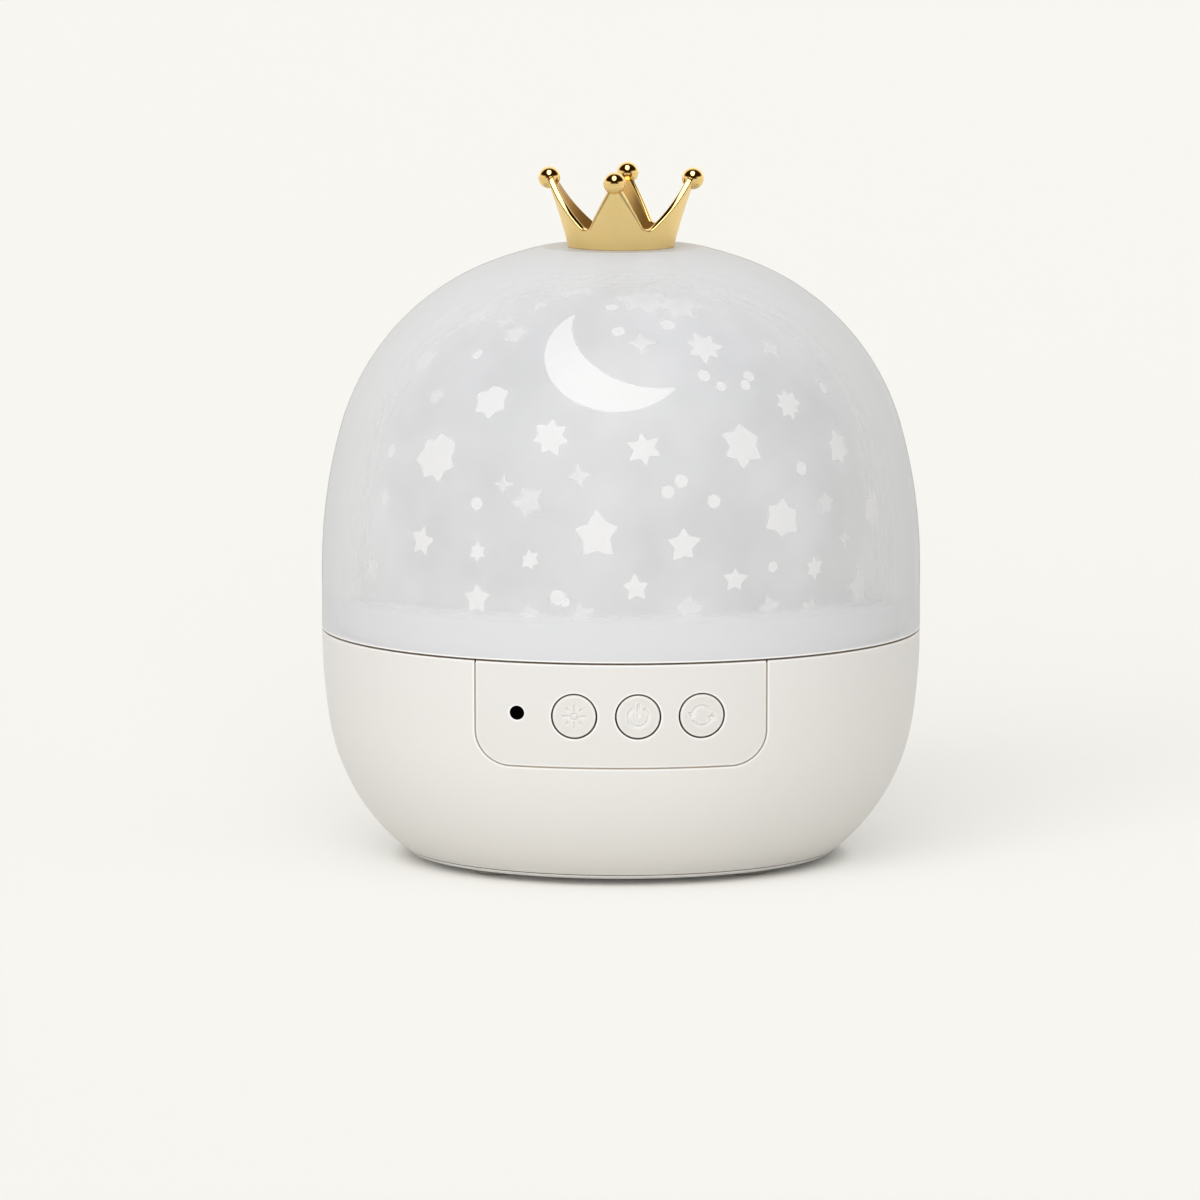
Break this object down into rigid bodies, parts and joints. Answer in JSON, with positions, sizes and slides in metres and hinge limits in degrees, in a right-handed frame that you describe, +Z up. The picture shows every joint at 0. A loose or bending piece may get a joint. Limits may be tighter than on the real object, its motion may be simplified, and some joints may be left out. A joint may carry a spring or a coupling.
{
  "type": "star projector night light",
  "caption": "Round night light with a clear dome over a turning star film, a small crown on top and a front panel of push buttons.",
  "frame": {"origin": "middle of the base on the surface that the feet stand on", "axes": "+Z up along the turntable's axis, -Y towards the button panel, +X to the right of someone facing the panel"},
  "size_m": [0.1168, 0.1168, 0.1349],
  "materials": {
    "clear_cover": "clear, polished",
    "film": "thin clear film with printed motifs",
    "gold_plating": "polished gold plating on plastic",
    "cream_shell": "satin moulded",
    "pale_panel": "satin moulded",
    "button_cream": "satin moulded",
    "dark_window": "polished dark",
    "foot_rubber": "matt",
    "white_gear": "smooth moulded",
    "inner_white": "smooth moulded",
    "milky": "milky",
    "washer": "smooth",
    "steel": "plated",
    "spring_steel": "nickel plated",
    "motor_can": "plated",
    "board": "lacquered board",
    "led_lens": "clear resin",
    "dark_plastic": "moulded",
    "cell_wrap": "plain wrap"
  },
  "bodies": {
    "base": {"thrust_washer": "washer", "gear_motor": "motor_can", "motor_screws": "steel", "light_tower": "inner_white", "tower_screws": "steel", "led_board": "board", "led": "led_lens", "diffuser": "milky", "deck": "inner_white", "base_shell": "cream_shell", "control_panel": "pale_panel", "tact_switches": "dark_plastic", "remote_window": "dark_window", "infrared_receiver": "dark_plastic", "main_board": "board", "controller_chip": "dark_plastic", "wire_headers": "inner_white", "board_screws": "steel", "inlet_board": "board", "power_socket": "steel", "inlet_screws": "steel", "bottom_cover": "cream_shell", "housing_screws": "steel", "battery_cells": "cell_wrap", "battery_contacts": "spring_steel", "rubber_feet": "foot_rubber"},
    "cover": {"outer_cover": "clear_cover", "crown": "gold_plating"},
    "turntable": {"turntable": "white_gear", "hub_bush": "washer", "projection_film": "film"},
    "pinion": {"drive_pinion": "white_gear", "motor_shaft": "steel"},
    "door": {"battery_door": "cream_shell", "door_screws": "steel"},
    "light_button": {"button_light": "button_cream", "plunger_light": "dark_plastic"},
    "power_button": {"button_power": "button_cream", "plunger_power": "dark_plastic"},
    "rotate_button": {"button_rotate": "button_cream", "plunger_rotate": "dark_plastic"}
  },
  "joints": [
    {"name": "cover_lift", "type": "slide", "parent": "base", "child": "cover", "axis": [0, 0, 1], "range_m": [0, 0.1]},
    {"name": "turntable_spin", "type": "hinge", "parent": "base", "child": "turntable", "pos_m": [0, 0, 0.0478], "axis": [0, 0, 1], "continuous": true},
    {"name": "pinion_spin", "type": "hinge", "parent": "base", "child": "pinion", "pos_m": [-0.0225, 0, 0.0456], "axis": [0, 0, 1], "continuous": true},
    {"name": "door_drop", "type": "slide", "parent": "base", "child": "door", "axis": [0, 0, -1], "range_m": [0, 0.03]},
    {"name": "light_press", "type": "slide", "parent": "base", "child": "light_button", "axis": [0, 1, 0], "range_m": [0, 0.0005], "stiffness_N_per_m": 1500, "springref_m": -0.0004},
    {"name": "power_press", "type": "slide", "parent": "base", "child": "power_button", "axis": [0, 1, 0], "range_m": [0, 0.0005], "stiffness_N_per_m": 1500, "springref_m": -0.0004},
    {"name": "rotate_press", "type": "slide", "parent": "base", "child": "rotate_button", "axis": [0, 1, 0], "range_m": [0, 0.0005], "stiffness_N_per_m": 1500, "springref_m": -0.0004}
  ],
  "couplings": [
    {"joint": "pinion_spin", "follows": "turntable_spin", "ratio": 4}
  ]
}
